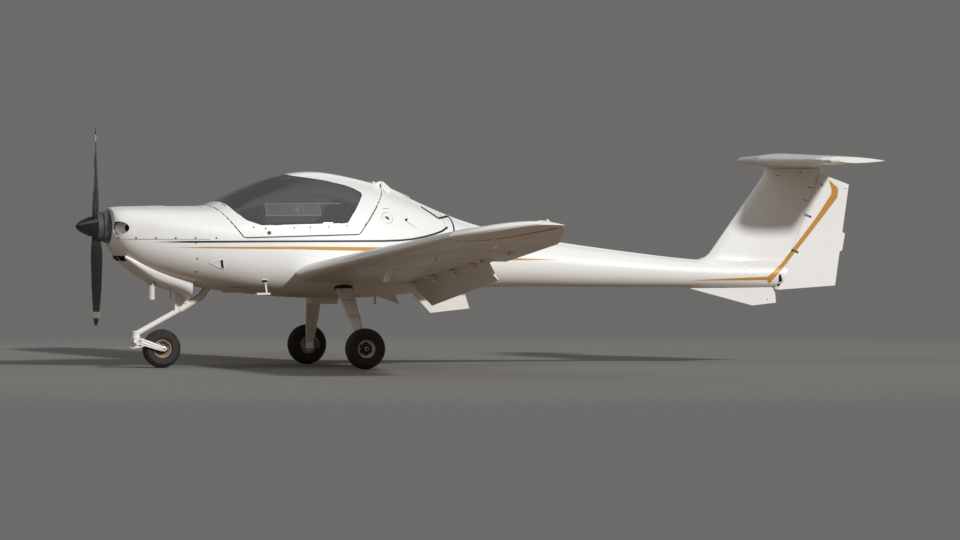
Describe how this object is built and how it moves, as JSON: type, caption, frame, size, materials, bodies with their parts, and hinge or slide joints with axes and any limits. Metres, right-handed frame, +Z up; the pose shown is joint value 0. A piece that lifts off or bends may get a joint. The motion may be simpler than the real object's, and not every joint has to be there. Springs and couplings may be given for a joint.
{
  "type": "light aircraft",
  "caption": "Low-wing light aircraft with side-by-side cabin under a lift-up canopy, slim tail boom, T-tail, fixed tricycle gear and a nose propeller; flaps set down.",
  "frame": {"origin": "on the ground, midway between spinner tip and rudder trailing edge and midway between the wing tips", "axes": "+X aft, +Y to starboard, +Z up"},
  "size_m": [7.16, 10.87, 2.105],
  "materials": {
    "white_paint": "gloss white paint over composite skin",
    "spinner_black": "gloss black paint",
    "propeller_black": "satin black lacquer over wood and composite",
    "clear_glass": "clear acrylic",
    "tyre_rubber": "worn black rubber",
    "wheel_metal": "painted cast alloy",
    "gear_paint": "gloss white paint",
    "steel": "bare steel",
    "engine_metal": "cast metal block",
    "panel_black": "textured black",
    "seat_shell": "moulded grey shell",
    "seat_cloth": "woven grey cloth",
    "dark_plastic": "black plastic"
  },
  "bodies": {
    "airframe": {"back_cushions": "seat_cloth", "belly_antenna": "steel", "belly_housing": "white_paint", "belly_strake": "white_paint", "brake_calipers": "steel", "canopy_hinge": "steel", "centre_console": "panel_black", "control_sticks": "dark_plastic", "deck_cover": "white_paint", "engine_block": "engine_metal", "entry_steps": "gear_paint", "exhaust_pipe": "steel", "fin": "white_paint", "fuselage": "white_paint", "instrument_panel": "panel_black", "left_flap_hinges": "steel", "left_gear_leg": "gear_paint", "left_wing": "white_paint", "left_wing_tip": "white_paint", "lower_cowl": "white_paint", "nose_strut": "gear_paint", "pitot_mast": "steel", "right_flap_hinges": "steel", "right_gear_leg": "gear_paint", "right_wing": "white_paint", "right_wing_tip": "white_paint", "rudder_pedals": "dark_plastic", "seat_cushions": "seat_cloth", "seat_shells": "seat_shell", "tailplane": "white_paint", "tie_down_eyes": "steel", "upper_cowl": "white_paint", "ventral_fin": "white_paint"},
    "propeller": {"propeller": "propeller_black", "spinner": "spinner_black"},
    "canopy": {"canopy_frame": "white_paint", "canopy_glass": "clear_glass"},
    "nose_castor": {"nose_fork": "gear_paint"},
    "nose_wheel": {"nose_tyre": "tyre_rubber", "nose_rim": "wheel_metal"},
    "left_wheel": {"left_tyre": "tyre_rubber", "left_rim": "wheel_metal"},
    "right_wheel": {"right_tyre": "tyre_rubber", "right_rim": "wheel_metal"},
    "left_flap": {"left_flap": "white_paint"},
    "right_flap": {"right_flap": "white_paint"},
    "left_aileron": {"left_aileron": "white_paint"},
    "right_aileron": {"right_aileron": "white_paint"},
    "elevator": {"elevator": "white_paint"},
    "rudder": {"rudder": "white_paint"}
  },
  "joints": [
    {"name": "propeller_spin", "type": "hinge", "parent": "airframe", "child": "propeller", "pos_m": [-3.4, 0, 1.24], "axis": [1, 0, 0], "continuous": true},
    {"name": "canopy_lift", "type": "hinge", "parent": "airframe", "child": "canopy", "pos_m": [-0.838, 0, 1.622], "axis": [0, 1, 0], "range_deg": [0, 40]},
    {"name": "nose_castor_turn", "type": "hinge", "parent": "airframe", "child": "nose_castor", "pos_m": [-3.036, 0, 0.262], "axis": [0, 0, 1], "range_deg": [-60, 60]},
    {"name": "nose_wheel_spin", "type": "hinge", "parent": "nose_castor", "child": "nose_wheel", "pos_m": [-2.806, 0, 0.17], "axis": [0, 1, 0], "continuous": true},
    {"name": "left_wheel_spin", "type": "hinge", "parent": "airframe", "child": "left_wheel", "pos_m": [-1.222, -0.953, 0.178], "axis": [0, 1, 0], "continuous": true},
    {"name": "right_wheel_spin", "type": "hinge", "parent": "airframe", "child": "right_wheel", "pos_m": [-1.222, 0.953, 0.178], "axis": [0, 1, 0], "continuous": true},
    {"name": "left_flap_swing", "type": "hinge", "parent": "airframe", "child": "left_flap", "pos_m": [-0.75035, -1.795, 0.8495], "axis": [0.0551, 0.9947, -0.0863], "range_deg": [-45, 0]},
    {"name": "right_flap_swing", "type": "hinge", "parent": "airframe", "child": "right_flap", "pos_m": [-0.75035, 1.795, 0.8495], "axis": [-0.0551, 0.9947, 0.0863], "range_deg": [-45, 0]},
    {"name": "left_aileron_swing", "type": "hinge", "parent": "airframe", "child": "left_aileron", "pos_m": [-0.863, -3.986, 1.0912], "axis": [0.056, 0.9952, -0.0799], "range_deg": [-25, 13.5]},
    {"name": "right_aileron_swing", "type": "hinge", "parent": "airframe", "child": "right_aileron", "pos_m": [-0.863, 3.986, 1.0912], "axis": [-0.056, 0.9952, 0.0799], "range_deg": [-25, 13.5]},
    {"name": "elevator_swing", "type": "hinge", "parent": "airframe", "child": "elevator", "pos_m": [3.18, 0, 1.821], "axis": [0, 1, 0], "range_deg": [-20, 12]},
    {"name": "rudder_swing", "type": "hinge", "parent": "airframe", "child": "rudder", "pos_m": [3.1135, 0, 1.2], "axis": [0.3528, 0, 0.9357], "range_deg": [-27, 27]}
  ],
  "couplings": [
    {"joint": "right_flap_swing", "follows": "left_flap_swing", "ratio": 1}
  ]
}
